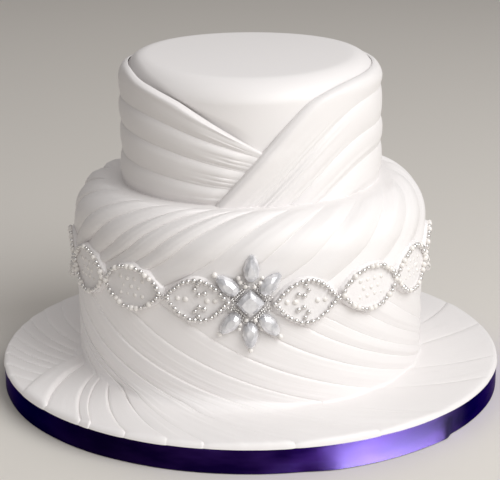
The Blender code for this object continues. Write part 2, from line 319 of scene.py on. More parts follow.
def around(angle, radius, height):
    turn = np.radians(angle)
    return np.stack([radius * np.sin(turn), -radius * np.cos(turn), height + 0 * turn], axis=-1)


def onSkin(tier, angle, climb, lift):
    # a point that climbs a tier's side, goes round its rim and in over its top, lifted off it
    side = tier["height"] - tier["rim"]
    arc = tier["rim"] * quarter
    turn = bendAt(climb, side, tier["rim"])
    inward = np.maximum(climb - side - arc, 0.0)
    reach = tier["rim"] + lift
    radius = tier["radius"] - tier["rim"] + reach * np.cos(turn) - inward
    height = np.minimum(climb, side) + reach * np.sin(turn)
    forward = np.maximum(0.5 + 0.5 * np.cos(np.radians(angle)) * radius / tier["radius"], 0.0)
    sunk = tier["sunk"] * forward ** tier["sunkLean"]
    height = height - sunk * fade(height, side - tier["sunkFrom"], tier["height"])
    return around(angle, radius, tier["base"] + height)


sharpAngle = math.radians(56)
mergeDistance = 0.01 * mm


def addObject(name, data):
    thing = bpy.data.objects.new(name, data)
    bpy.context.scene.collection.objects.link(thing)
    return thing


def meshOf(shape, name):
    mesh = bpy.data.meshes.new(name)
    shape.to_mesh(mesh)
    shape.free()
    return mesh


def finishPiece(mesh, material, slotName, *nodes):
    # the piece is named after its mesh
    mesh.materials.append(material)
    mesh.shade_smooth()
    mesh.set_sharp_from_angle(angle=sharpAngle)
    piece = addObject(mesh.name, mesh)
    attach(piece, "root")
    if nodes:
        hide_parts(*nodes)
    return piece


def closedMesh(shape, name):
    bmesh.ops.remove_doubles(shape, verts=shape.verts, dist=mergeDistance)
    bmesh.ops.recalc_face_normals(shape, faces=shape.faces)
    if shape.calc_volume(signed=True) < 0:
        bmesh.ops.reverse_faces(shape, faces=shape.faces)
    return meshOf(shape, name)


def makeSheet(name, folds, grid, place, material, *nodes):
    # The grid is (columns for each fold, rows), and place(across, along, layer) gives the sheet's points,
    # with layer 0 beneath and 1 on show.
    columns, rows = grid
    shape = bmesh.new()
    bmesh.ops.create_grid(shape, x_segments=folds * columns, y_segments=rows, size=0.5, calc_uvs=True)
    flat = shape.loops.layers.uv.verify()
    for face in shape.faces:
        for loop in face.loops:
            loop[flat].uv = (loop.vert.co.x + 0.5, loop.vert.co.y + 0.5)
    grown = bmesh.ops.extrude_face_region(shape, geom=list(shape.faces), use_keep_orig=True)
    outer = [part for part in grown["geom"] if isinstance(part, bmesh.types.BMVert)]
    bmesh.ops.translate(shape, verts=outer, vec=(0.0, 0.0, 1.0))
    spots = np.array([vertex.co for vertex in shape.verts])
    points = place(spots[:, 0] + 0.5, spots[:, 1] + 0.5, spots[:, 2])
    for vertex, point in zip(shape.verts, points):
        vertex.co = point
    return finishPiece(closedMesh(shape, name), material, "sugar_icing", *nodes)


def bulge(share, crest):
    # a rounded fold: a soft rise, then a steep drop
    rise = np.sin(quarter * shareOf(share, 0, crest))
    fall = shareOf(share, crest, 1)
    return rise * np.sqrt(1 - fall**2)


def lap(share, crest, groove=0.04):
    # a sheet laid over its neighbour: a narrow groove, nearly flat, then a small rounded edge
    rise = 0.7 - 0.7 * np.exp(-share / groove) + 0.3 * shareOf(share, 0, crest) ** 2
    fall = shareOf(share, crest, 1)
    return rise * np.sqrt(1 - fall**2)


def pillow(share, lean=1.2):
    # a fold that is round on both sides, with a narrow valley at each end
    return 1 - np.abs(2 * shareOf(share, 0, 1) ** lean - 1) ** 2.5


def swell(share):
    # a fold with no crease at all
    return np.sin(np.pi * share) ** 2


def gather(across, count):
    # fold position with points crowded towards the creases
    position = across * count
    return position - 0.1 * np.sin(2 * np.pi * position)


def between(stops, position):
    return np.interp(position, np.arange(len(stops)), stops)


class Pleats:
    # Uneven pleats with smaller ones on them. A look has their depth, where their crests lie, their
    # groove's width, how flat they are, and the smaller ones' width in degrees and height.
    def __init__(self, stops, look, seed):
        chance = np.random.default_rng(seed)
        widths = np.diff(stops)
        count = len(widths)
        self.count = count
        self.look = look
        self.depth = look["depth"] * chance.uniform(0.75, 1.2, count)
        self.crest = chance.uniform(*look["crest"], count)
        self.number = np.maximum(1, np.round(widths / look["fineWidth"] * chance.uniform(0.8, 1.25, count)))
        self.fine = look["fine"] * chance.uniform(0.6, 1.3, count)
        self.phase = chance.uniform(0.0, 1.0, (3, count))

    def height(self, position, along, soft=0.0):
        # soft is 0 for crisp pleats and 1 for swells without creases
        which = np.floor(position).astype(int) % self.count
        share = position % 1.0
        crest = self.crest[which]
        flat = self.look["flat"]
        crisp = flat * lap(share, crest, self.look["groove"]) + (1 - flat) * bulge(share, crest)
        wave = np.sin(2 * np.pi * (along * 1.1 + self.phase[0, which]))  # deeper here, flatter there
        large = self.depth[which] * blend(crisp, swell(share), soft) * (1 + 0.2 * wave)
        bend = 0.4 * np.sin(2 * np.pi * (share * 0.8 + along * 0.6 + self.phase[1, which]))
        steps = (share + bend * share * (1 - share)) * self.number[which]
        part = steps % 1.0
        small = blend(0.5 * lap(part, 0.8) + 0.5 * bulge(part, 0.72), 0.6 * swell(part), soft)
        turn = along * 1.4 + self.phase[2, which] + np.floor(steps) * 0.37
        ebb = 0.55 + 0.45 * np.sin(2 * np.pi * turn)  # each smaller pleat comes and goes on its own
        return large + self.fine[which] * small * ebb


# The crossed drapes of the neckline. Each fold is (angle at its front end, climb there in mm, climb
# at which it runs on round the side, steepness), from the hem down. Runs are in degrees from there.
neckline = {
    "foot": 2.6 * mm,
    "air": 0.8 * mm,
    "thickness": 2.1 * mm,
    "tuck": 2.6,  # how far the left drape runs on under the right one, in degrees
    "behind": 3.0,  # how far it goes on behind the other at the back
    "knee": 52.0,  # the run at which its folds turn level
    "overRim": 2.6,  # how much further its hem climbs at the left, over the rim, in mm
    "slope": 0.87,  # distance from its hem as a share of the climb
    "lip": 0.9 * mm,  # how far its hem rolls outwards
    "lipWidth": (2.2 * mm, 6.5 * mm),  # at the front and round the side
    "seam": backSeam - 0.15,
    "grid": (44, 240),
    "right": {
        "seed": 4,
        "folds": [
            (-15, 0, 71, 1.55), (3, 0, 56, 1.38), (16, 0, 37, 1.27), (30, 0, 22, 1.15), (51, 0, 0, 1.05),
        ],
        "depth": 1.5 * mm,
        "small": [5, 4, 2, 1],  # little pleats between two folds
        "fine": 0.525 * mm,
        "fineRun": 34,  # the run of the shortest of them
        "soft": 0.55,
        "under": 0.24 * mm,
        "blunt": (3.4 * mm, 2.2 * mm),  # width of the hem's rounded edge, high up and low down
        "full": (0.5 * mm, 1.6 * mm),  # how much thicker it is behind that edge, high up and low down
    },
    "left": {
        "seed": 9,
        "folds": [
            (4, 30.2, 69.8, 1), (1, 28.2, 50.5, 1), (-3.5, 19.6, 35.5, 1), (-8, 9.7, 18, 1), (-15.6, 0, 0, 1),
        ],
        "depth": 1.875 * mm,
        "small": [4, 3, 3, 2],
        "fine": 0.7 * mm,
        "fineRun": 16,
        "soft": 0.0,
        "under": 0.16 * mm,
        "blunt": (1.1 * mm, 2.5 * mm),  # at the front and round the side
        "thinner": 1.9 * mm,  # how much it loses round the side
    },
}
upperIcing = {
    "grid": (360, 104),
    "sideRows": 0.9,  # share of the rows that climb the side and the rim
    "dip": 1.6 * mm,  # how far it sinks towards the left hem
    "dipWidth": 6.5 * mm,
    "sunkFrom": 20 * mm,  # it starts to sink further down than its drapes do
}


def foldClimb(run, start, level, knee, softness=8.0):
    # a fold rises from its start and turns level at the knee
    knee = np.maximum(knee, 0.1)
    bend = np.log1p(np.exp((knee - run) / softness)) / np.log1p(np.exp(knee / softness))
    return level - (level - start) * bend


def overRim(run):
    return neckline["overRim"] * within(run, 58, 82, 95, 125)


def hemClimb(side, angle):
    # climb of a drape's hem at an angle, and how far along it that is
    foot, start, level, steep = neckline[side]["folds"][0]
    if side == "right":
        run = np.maximum(angle - foot, 0.0)
        return foldClimb(run, start, level, level / steep), run
    run = np.maximum(foot + neckline["tuck"] - angle, 0.0)
    return foldClimb(run, start, level, neckline["knee"]) + overRim(run), run


def foldAt(side, position, spread):
    # run, angle and climb of a fold where it has spread round the tier by a share
    foot, start, level, steep = (between(column, position) for column in zip(*neckline[side]["folds"]))
    if side == "right":
        run = (neckline["seam"] - foot) * spread
        return run, foot + run, foldClimb(run, start, level, level / steep)
    foot = foot + neckline["tuck"]
    run = (neckline["seam"] + neckline["behind"] + foot) * spread
    over = overRim(run) * fade(position, 1.0, 0.0)
    return run, foot - run, foldClimb(run, start, level, neckline["knee"]) + over


def makeUpperTier():
    # the smooth tier: up its side, over the rim and in to the middle
    columns, rows = upperIcing["grid"]
    shape = bmesh.new()
    bmesh.ops.create_grid(shape, x_segments=columns, y_segments=rows, size=0.5)
    spots = np.array([vertex.co for vertex in shape.verts]) + 0.5
    rimEnd = upper["height"] - upper["rim"] * (1 - quarter)
    middle = rimEnd + upper["radius"] - upper["rim"]
    climb = np.interp(spots[:, 1], (0, upperIcing["sideRows"], 1), (0, rimEnd, middle))
    angle = backSeam - 360 * spots[:, 0]
    hem, run = hemClimb("left", angle)
    above = (climb - neckline["foot"] - hem * mm) * neckline["slope"]
    dip = upperIcing["dip"] * fade(above, upperIcing["dipWidth"], 0.0) * within(run, 3, 16, 90, 110)
    bare = dict(upper, sunkFrom=upperIcing["sunkFrom"])
    for vertex, point in zip(shape.verts, onSkin(bare, angle, climb, -dip)):
        vertex.co = point
    bmesh.ops.remove_doubles(shape, verts=shape.verts, dist=mergeDistance)
    bmesh.ops.holes_fill(shape, edges=[edge for edge in shape.edges if edge.is_boundary], sides=0)
    finishPiece(closedMesh(shape, "upperTierIcing"), icing, "sugar_icing", "upper_tier")


def rightBody(run, angle, climb, fromHem, relief, sag):
    # thickness of the right drape and roundness of its hem, which is fuller low down
    look = neckline["right"]
    low = fade(climb, 36, 26)
    full = blend(*look["full"], low) * fade(fromHem, 14 * mm, 3 * mm)
    atBack = fade(run, 66, 100) * fade(fromHem, 12 * mm, 0.0)
    body = (neckline["thickness"] + full + relief + sag) * (1 - 0.55 * atBack)
    return body, roundedEdge(fromHem, blend(*look["blunt"], low))


def leftBody(run, angle, climb, fromHem, relief, sag):
    # the same of the left one, which starts thin and whose hem rolls outwards
    look = neckline["left"]
    body = neckline["thickness"] * (0.35 + 0.65 * fade(run, 3, 30)) - look["thinner"] * fade(run, 45, 80)
    body = body + relief * (0.4 + 0.6 * fade(run, 2, 9)) + sag
    body = body * (1 - 0.6 * fade(-angle, neckline["seam"] - 2, neckline["seam"]))
    wide = blend(*neckline["lipWidth"], fade(run, 10, 50))
    lip = neckline["lip"] * fade(fromHem, wide, 0.25 * wide) * within(run, 2.5, 16, 74, 98)
    return body + lip, roundedEdge(fromHem, blend(*look["blunt"], fade(run, 35, 65)))


def makeDrape(side, bodyOf):
    look = neckline[side]
    small = np.array(look["small"])
    last = len(small)
    phase = np.random.default_rng(look["seed"]).uniform(0, 1, (3, last))

    def place(across, along, layer):
        position = gather(across, last)
        which = np.clip(np.floor(position).astype(int), 0, last - 1)
        share = shareOf(position - which, 0, 1)
        spread = along**1.3  # rows are closer at the front
        run, angle, climb = foldAt(side, position, spread)
        hem, hemRun = hemClimb(side, angle)
        if side == "right":
            slope = 0.65 + 0.35 * fade(hemRun, 25, 60)
            gap = 17 * mm  # between two folds
        else:
            slope = neckline["slope"]
            gap = (foldAt(side, which, spread)[2] - foldAt(side, which + 1, spread)[2]) * 0.8 * mm
        fromHem = np.maximum(hem - climb, 0.0) * slope * mm

        # the large folds are lower where they lie close together, and at the back
        rolled = 0.75 * pillow(1 - share) + 0.25 * bulge(1 - share, 0.66 + 0.1 * phase[0, which])
        large = np.minimum(look["depth"], 0.22 * gap) * rolled * (1 - 0.25 * fade(run, 45, 80))
        steps = (1 - share + 0.1 * np.sin(2 * np.pi * (share + phase[1, which]))) * small[which]
        reach = look["fineRun"] + 20 * np.mod(np.floor(steps) * 0.618 + phase[2, which], 1.0)
        ridge = blend(bulge(steps % 1.0, 0.68), swell(steps % 1.0), look["soft"])
        fine = np.minimum(look["fine"], 0.36 * gap / small[which]) * fade(run, reach, reach * 0.3)
        relief = (large + fine * ridge) * (1 - fade(position, last - 0.4, last))
        sag = 0.25 * mm * np.sin(np.radians(angle) * 3 + climb * 0.12) * fade(run, 20, 60)

        body, rounding = bodyOf(run, angle, climb, fromHem, relief, sag)
        thick = neckline["air"] + body - look["under"]
        lift = look["under"] + layer * thick * (0.15 + 0.85 * rounding)
        return onSkin(upper, angle, neckline["foot"] + climb * mm, lift)

    name = "neckline" + side.capitalize()
    makeSheet(name, last, neckline["grid"], place, drapedIcing, "neckline_drape_" + side)


makeUpperTier()
makeDrape("right", rightBody)
makeDrape("left", leftBody)
print("neckline drapes made")


# The bodice: pleats that sweep down to the left over the lower tier's shelf and rim.
bodice = {
    "folds": [
        -70, -58, -47, -39.5, -31, -23.5, -10, 5, 20, 38, 55, 72, 89,
        105, 121, 139, 156, 172, 188, 205, 221, 238, 255, 272,
    ],
    "crossing": 90,  # climb in mm at which the folds cross these angles
    "lean": (0.72, 0.0085),  # degrees per mm, and how they curve
    "thickness": 2.9 * mm,
    "air": 0.8 * mm,
    "shelfEdge": 76.2 * mm,  # the radius at which it ends, under the neckline
    "grid": (26, 64),
    "seed": 21,
    "look": {
        "depth": 1.9 * mm, "crest": (0.6, 0.74), "groove": 0.04, "flat": 0.1,
        "fineWidth": 4.0, "fine": 0.38 * mm,
    },
}


def makeBodice():
    folds = bodice["folds"] + [bodice["folds"][0] + 360]
    count = len(folds) - 1
    pleats = Pleats(folds, bodice["look"], bodice["seed"])
    start = beltClimb + 0.3 * mm
    shelf = lower["height"] - lower["rim"] + lower["rim"] * quarter
    end = shelf + lower["radius"] - lower["rim"] - bodice["shelfEdge"]

    def place(across, along, layer):
        position = gather(across, count)
        climb = start + along * (end - start)
        angle = between(folds, position) + leanOf(bodice, climb / mm - bodice["crossing"])
        soft = 0.2 + 0.5 * within(angle, 0, 50, 130, 200)  # softer at the right
        relief = pleats.height(position, along, soft)
        relief = relief * (0.45 + 0.55 * fade(climb, start, start + 9 * mm))  # flatter under the belt
        relief = relief * fade(climb, shelf - 0.5 * mm, shelf - 9 * mm)  # and flat on the shelf
        lift = bodice["air"] + layer * (bodice["thickness"] + relief)
        return onSkin(lower, angle, climb, lift)

    makeSheet("bodicePleats", count, bodice["grid"], place, drapedIcing, "bodice_drape")


makeBodice()
print("bodice made")


# The skirt: pleats that sweep down to the right. The first few, at the front, run out over the
# board as an apron, and the others end in a crease.
skirt = {
    "folds": [
        -102, -94.5, -77, -57, -35, -15.5, 4.5, 18.5, 29, 41, 54, 70, 86,
        103, 120, 138, 155, 172, 190, 207, 224, 243,
    ],
    "crossing": 47,  # climb in mm at which the folds cross these angles
    "lean": (0.85, 0.0101),  # degrees per mm, and how they curve
    "apron": 4,  # how many folds it has
    "thickness": 2.9 * mm,
    "air": 0.8 * mm,
    "hollows": (3.6, 9.5, 11.0, 9.0, 1.4),  # radius in mm of the apron's hollow at each crease
    "crease": 1.2 * mm,  # the same for the others
    "leftCrease": 2.4 * mm,  # and what is added at the left
    "turnFrom": 3 * mm,  # how high above the board the folds start to turn outwards
    "reach": 43.0,  # how far the apron turns on over the board, in mm
    "twist": (0.55, 0.57, 0.59, 0.57, 0.5),  # how the apron's creases turn over the board, degrees per mm
    "curl": (3.5, 3.5, 3.5, 3.0, 1.0),  # and how much they turn at the start, in degrees
    "tail": 3.0 * mm,  # how far the others run on under the board's sheets
    "tailSunk": 1.4 * mm,
    # shares of the rows for the apron's side, hollow, way out, rim and drop
    "rows": (0, 0.42, 0.57, 0.88, 0.97, 1),
    "boardRelief": 1.7,  # how many times deeper the apron's pleats are on the board
    "rimRelief": 0.4,  # and the share of that which is left at its rim
    "apronGrid": (44, 88),
    "restGrid": (32, 56),
    "seed": 33,
    "look": {
        "depth": 1.0 * mm, "crest": (0.86, 0.93), "groove": 0.045, "flat": 0.75,
        "fineWidth": 4.2, "fine": 0.22 * mm,
    },
}
board = {
    "start": 103.0 * mm,
    "edge": 153.4 * mm,
    "rim": 2.2 * mm,
    "foot": 15.1 * mm,
    "under": 14.9 * mm,  # height of the sheets' underside
    "sheet": 1.6 * mm,  # thickness of the pleated sheets at the bottom of a fold
    "curlReach": 7.0,  # how soon a fold's curl is spent, in mm
    "rows": (0, 0.78, 0.94, 1),  # shares of the rows for the way out, rim and drop
    "grid": (30, 48),
    "hem": 1.1 * mm,  # how much the left sheet's hem is raised
    "lower": 0.35 * mm,  # how much lower the side sheet lies
    "tuck": 1.0 * mm,  # how far it goes down where the left one hides it
}
ground = boardTop + board["sheet"]
flatEdge = board["edge"] - board["rim"]
rimDrop = ground - board["rim"] - board["foot"]


def overBoard(angle, flat, arc, drop, lift, hollowTurn=quarter):
    # a point out over the board, round its edge and down to the ribbon, lifted along the surface's normal
    turn = hollowTurn - arc
    radius = flat + board["rim"] * np.sin(arc) + lift * np.cos(turn)
    return around(angle, radius, ground - board["rim"] * (1 - np.cos(arc)) - drop + lift * np.sin(turn))


def turnOut(twist, curl, beyond):
    # turn of a fold beyond mm out over the board: a steady twist and a curl at the start
    return twist * beyond + curl * (1 - np.exp(-beyond / board["curlReach"]))


def pick(layer, shown, hidden):
    # the points on show and those beneath
    return np.where(layer[:, None] > 0.5, shown, hidden)


def closeBelow(points, layer):
    low = points.copy()
    low[:, 2] = np.minimum(low[:, 2], board["under"])
    return pick(layer, points, low)


def makeSkirt():
    folds = skirt["folds"] + [skirt["folds"][0] + 360]
    count = len(folds) - 1
    restCount = count - skirt["apron"]
    pleats = Pleats(folds, skirt["look"], skirt["seed"])
    top = beltClimb - 0.3 * mm
    inner = lower["radius"] + skirt["air"]
    outer = inner + skirt["thickness"]
    overGround = top - (ground - lower["base"])

    def angleAt(position, path):
        climb = np.maximum(top - path, skirt["turnFrom"]) / mm
        return between(folds, position) + leanOf(skirt, skirt["crossing"] - climb)

    def reliefAt(position, along, angle):
        facing = facingOf(angle)
        soft = 0.15 + 0.5 * within(facing, 15, 45, 130, 170)
        return pleats.height(position, along, soft) * (0.5 + 0.5 * fade(along, 0.0, 0.12))

    def hang(angle, path, side, hollow, furthest, arc, drop, relief):
        # a fold comes down the tier, bends outwards in its hollow and goes on over the board
        bend = bendAt(path, side, hollow)
        out = np.clip(path - side - hollow * quarter, 0.0, furthest)
        rise = np.maximum(side - path, 0.0) + hollow * (1 - np.sin(bend))
        flat = outer + hollow * (1 - np.cos(bend)) + out
        return overBoard(angle, flat, arc, drop - rise, relief, bend), (bend > 0)[:, None]

    def placeApron(across, along, layer):
        position = gather(across, skirt["apron"])
        hollow = between(skirt["hollows"], position) * mm
        out = flatEdge - outer - hollow
        stretches = [overGround - hollow, hollow * quarter, out, board["rim"] * quarter, rimDrop]
        ends = np.cumsum([stretch + 0 * out for stretch in stretches], axis=0)
        path = sum(
            stretch * shareOf(along, first, last)
            for stretch, first, last in zip(stretches, skirt["rows"], skirt["rows"][1:])
        )
        beyond = skirt["reach"] * shareOf(path, top - skirt["turnFrom"], ends[2])
        twist, curl = between(skirt["twist"], position), between(skirt["curl"], position)
        angle = angleAt(position, path) + turnOut(twist, curl, beyond)
        relief = reliefAt(position, path / ends[1], angle)
        relief = relief * blend(1, skirt["boardRelief"], fade(path, ends[0], ends[1]))
        relief = relief * blend(1, skirt["rimRelief"], fade(path, ends[2], ends[4]))
        arc = bendAt(path, ends[2], board["rim"])
        drop = np.maximum(path - ends[3], 0.0)
        points, bent = hang(angle, path, ends[0], hollow, out, arc, drop, relief)
        inside = around(angle, inner + 0 * path, points[:, 2])
        return pick(layer, points, np.where(bent, closeBelow(points, layer), inside))

    def placeRest(across, along, layer):
        position = skirt["apron"] + gather(across, restCount)
        facing = facingOf(angleAt(position, top))
        hollow = skirt["crease"] + skirt["leftCrease"] * within(facing, -100, -55, -20, 0)
        side = overGround - hollow
        path = along * (side + hollow * quarter + skirt["tail"])
        ends = (skirt["apron"], skirt["apron"] + 1, count - 1, count)  # its ends follow the apron
        twist, curl = (
            np.interp(position, ends, (skirt[key][-1], 0, 0, skirt[key][0])) for key in ("twist", "curl")
        )
        onward = 0.93 * np.maximum(path - top + skirt["turnFrom"], 0.0) / mm
        angle = angleAt(position, path) + turnOut(twist, curl, onward)
        relief = reliefAt(position, along, angle) * (1 - 0.5 * fade(along, 0.88, 1.0))
        out = np.maximum(path - side - hollow * quarter, 0.0)
        sunk = skirt["tailSunk"] * (out / skirt["tail"]) ** 1.5
        points, bent = hang(angle, path, side, hollow, skirt["tail"], 0.0, sunk, relief)
        radius = np.hypot(points[:, 0], points[:, 1])
        below = around(angle, radius + inner - outer, board["foot"])
        return pick(layer, points, np.where(bent, below, around(angle, inner + 0 * path, points[:, 2])))

    makeSheet("skirtApron", skirt["apron"], skirt["apronGrid"], placeApron, drapedIcing, "skirt_drape")
    makeSheet("skirtPleats", restCount, skirt["restGrid"], placeRest, drapedIcing, "skirt_drape")


makeSkirt()
print("skirt made")


# The rest of the board: pleats curl out to the right, and behind a hem at the left others lie
# the other way. Stops are the folds' angles where a sheet starts, under the skirt.
boardSheets = {
    "boardPleatsLeft": {
        "seed": 51,
        "node": "board_strips_front",
        "stops": [-79.5, -72, -62.7, -58.5, -54.5, -51.5],
        "twist": (0.40, 0.46, 0.493, 0.46, 0.515, 0.535),
        "curl": (0, 0, 0.5, 0.8, 3.0, 8.6),
        "look": {
            "depth": 1.8 * mm, "crest": (0.78, 0.88), "groove": 0.05, "flat": 0.6,
            "fineWidth": 5, "fine": 0.12 * mm,
        },
    },
    "boardPleatsRight": {
        "seed": 54,
        "node": "board_strips_front",
        "stops": [16.4, 43, 62.6, 84.5, 100, 119, 139, 160, 180],
        "twist": (0.50, 0.46, 0.34, 0.30, 0.34, 0.32, 0.30, 0.28, 0.26),
        "curl": (3.0, 2.0, 1.5, 3.0, 2.0, 2.0, 2.0, 2.0, 2.0),
        "look": {
            "depth": 0.8 * mm, "crest": (0.84, 0.9), "groove": 0.08, "flat": 0.6,
            "fineWidth": 9, "fine": 0.15 * mm,
        },
    },
    "boardPleatsSide": {
        "seed": 57,
        "node": "board_strips_side",
        "stops": [
            -176, -168, -155, -140, -125, -114, -104, -95, -87, -80, -74.5, -68, -62.3, -57, -50, -43, -31,
        ],
        "twist": (-0.56,) * 17,
        "curl": (0,) * 17,
        "look": {
            "depth": 0.8 * mm, "crest": (0.74, 0.84), "groove": 0.08, "flat": 0.4,
            "fineWidth": 6, "fine": 0.15 * mm,
        },
    },
}


def makeBoardSheet(name, shapeLift):
    sheet = boardSheets[name]
    count = len(sheet["stops"]) - 1
    pleats = Pleats(sheet["stops"], sheet["look"], sheet["seed"])
    flatLength = flatEdge - board["start"]
    lengths = np.cumsum([0, flatLength, board["rim"] * quarter, rimDrop])

    def place(across, along, layer):
        position = gather(across, count)
        path = np.interp(along, board["rows"], lengths)
        beyond = np.minimum(path, flatLength) / mm
        twist, curl = between(sheet["twist"], position), between(sheet["curl"], position)
        angle = between(sheet["stops"], position) + turnOut(twist, curl, beyond)
        atRim = fade(path, flatLength - 1 * mm, lengths[3])
        relief = pleats.height(position, along) * (1 - 0.7 * atRim)
        relief = relief * (0.6 + 0.4 * fade(path, 3 * mm, 14 * mm))
        lift = shapeLift(position, angle, beyond, relief, atRim)
        arc = bendAt(path, flatLength, board["rim"])
        flat = board["start"] + np.minimum(path, flatLength)
        return closeBelow(overBoard(angle, flat, arc, np.maximum(path - lengths[2], 0.0), lift), layer)

    makeSheet(name, count, board["grid"], place, drapedIcing, sheet["node"])


def hemmed(position, angle, beyond, relief, atRim):
    raised = board["hem"] * fade(position, 1.0, 0.0) * (1 - 0.8 * atRim)
    return (relief + raised) * roundedEdge(position, 0.1)


def plain(position, angle, beyond, relief, atRim):
    return relief


def tucked(position, angle, beyond, relief, atRim):
    # lies a little lower than the left sheet, and goes on under its hem
    other = boardSheets["boardPleatsLeft"]
    boundary = other["stops"][0] + other["twist"][0] * beyond
    hidden = fade(angle, boundary + 0.5, boundary + 3)
    return blend(relief - board["lower"] * (1 - atRim), -board["tuck"], hidden)


makeBoardSheet("boardPleatsLeft", hemmed)
makeBoardSheet("boardPleatsRight", plain)
makeBoardSheet("boardPleatsSide", tucked)
print("board made")


# The ribbon round the drum, a little loose at its lower edge.
ribbon = {
    "lap": 9.0,  # how far each end runs on past the back, in degrees
    "lapRise": 0.7 * mm,
    "thickness": 0.5 * mm,
    "foot": 0.5 * mm,
    "width": 14.8 * mm,
    "air": 0.3 * mm,
    "loose": 0.35 * mm,
    "flare": 2.2 * mm,  # how far the lower edge stands off at the front right
    "flareAngles": (9, 18, 44.8, 47.8),
    "grid": (480, 8),
}


def makeRibbon():
    def place(across, along, layer):
        start = backSeam - ribbon["lap"]
        angle = start + across * (360 + 2 * ribbon["lap"])
        lapped = fade(angle, start + 354, start + 360) * ribbon["lapRise"]
        turn = np.radians(angle)
        waves = 0.5 + 0.3 * np.sin(turn * 7 + 1.0) + 0.2 * np.sin(turn * 17)
        flared = within(facingOf(angle), *ribbon["flareAngles"])
        loose = (ribbon["loose"] * waves + ribbon["flare"] * flared * (1 - along)) * (1 - along) ** 0.6
        radius = boardRadius + ribbon["air"] + lapped + loose + layer * ribbon["thickness"]
        return around(angle, radius, ribbon["foot"] + along * ribbon["width"])

    strip = makeSheet("satinRibbon", 1, ribbon["grid"], place, satin, "ribbon")


makeRibbon()
print("ribbon made")


# The belt's plaques, laid by hand, so that each sits and measures a little differently.
belt = {
    "count": 16,
    "broochHalfAngle": 6.0,
    "length": 39.5 * mm,
    "height": 27.0 * mm,
    "thickness": 1.5 * mm,
    "rim": 1.9 * mm,  # width of the icing edge outside the beads
    "dish": 0.7 * mm,  # how much lower the middle is
    "edgeDepth": 1.6 * mm,  # how far the edge goes in between the sheets
    "backDepth": 2.0 * mm,
    "cut": 0.97,  # below 1 the ends are cut off a little
    "grid": (44, 26),
    # number from the right of the brooch: (turn in degrees, rise in mm, length, height, bluntness)
    "laid": {
        0: (-0.2, -0.4, 0.99, 1.04, 0.8), 1: (0.3, 1.2, 1.1, 1.06, 0.6), 2: (0.6, 2.1, 1.06, 1.12, 0.6),
        3: (1.5, 3.0, 1.06, 1.16, 0.6), 12: (-1.5, 1.0, 1.08, 1.16, 0.6), 13: (-0.6, 2.7, 1.05, 1.1, 0.6),
        14: (0.4, 2.2, 1.1, 1.02, 0.6), 15: (1.0, 0.5, 0.99, 1.0, 0.8),
    },
    "usual": (0.0, 1.5, 1.05, 1.06, 0.6),
}
beltPitch = (360 - 2 * belt["broochHalfAngle"]) / belt["count"]


class Plaque:
    def __init__(self, number):
        self.number = number
        turn, rise, long, tall, self.blunt = belt["laid"].get(number, belt["usual"])
        self.angle = belt["broochHalfAngle"] + beltPitch * (number + 0.5) + turn
        self.climb = beltClimb + rise * mm
        self.halfLength = belt["length"] / 2 * long
        self.halfHeight = belt["height"] / 2 * tall
        self.hand = 1 if number < belt["count"] / 2 else -1

    def edge(self, along):
        return self.halfHeight * np.cos(quarter * belt["cut"] * np.clip(along, -1, 1)) ** self.blunt

    def spot(self, x, up):
        # angle and climb of a point given in metres from the plaque's middle
        return self.angle + np.degrees(x / beltRadius), self.climb + up

    def walk(self, inset, spacing):
        # evenly spaced spots round the outline, from the end that points right
        sweep = np.linspace(0.0, 2 * np.pi, 721)
        along = np.cos(sweep)
        up = np.sign(np.sin(sweep)) * np.maximum(self.edge(along) - inset, 0.0)
        x = along * (self.halfLength - inset)
        steps = np.concatenate([[0.0], np.cumsum(np.hypot(np.diff(x), np.diff(up)))])
        wanted = np.linspace(0.0, steps[-1], int(steps[-1] / spacing), endpoint=False)
        return list(zip(np.interp(wanted, steps, x), np.interp(wanted, steps, up)))


plaques = [Plaque(number) for number in range(belt["count"])]


def onBelt(angle, climb, lift):
    return onSkin(lower, angle, climb, beltRadius - lower["radius"] + lift)


def makePlaques():
    for plaque in plaques:
        def place(across, along, layer, plaque=plaque):
            # sideways and upwards go from -1 to 1, with more points at the edge
            sideways = np.sin((across - 0.5) * np.pi)
            upwards = np.sin((along - 0.5) * np.pi)
            half = plaque.edge(sideways)
            toTip = (1 - np.abs(sideways)) * plaque.halfLength * 0.7
            toEdge = np.minimum((1 - np.abs(upwards)) * half, toTip)
            dished = belt["dish"] * fade(toEdge, belt["rim"] * 0.7, belt["rim"] * 2.2)
            raised = (belt["edgeDepth"] + belt["thickness"]) * roundedEdge(toEdge, belt["rim"])
            thick = belt["backDepth"] - belt["edgeDepth"] + raised - dished
            angle, climb = plaque.spot(sideways * plaque.halfLength, upwards * half)
            return onBelt(angle, climb, layer * thick - belt["backDepth"])

        number = f"{plaque.number + 1:02d}"
        plate = makeSheet("beltPlaque" + number, 1, belt["grid"], place, plaqueIcing, "belt_leaf_" + number)


makePlaques()
print("plaques made")


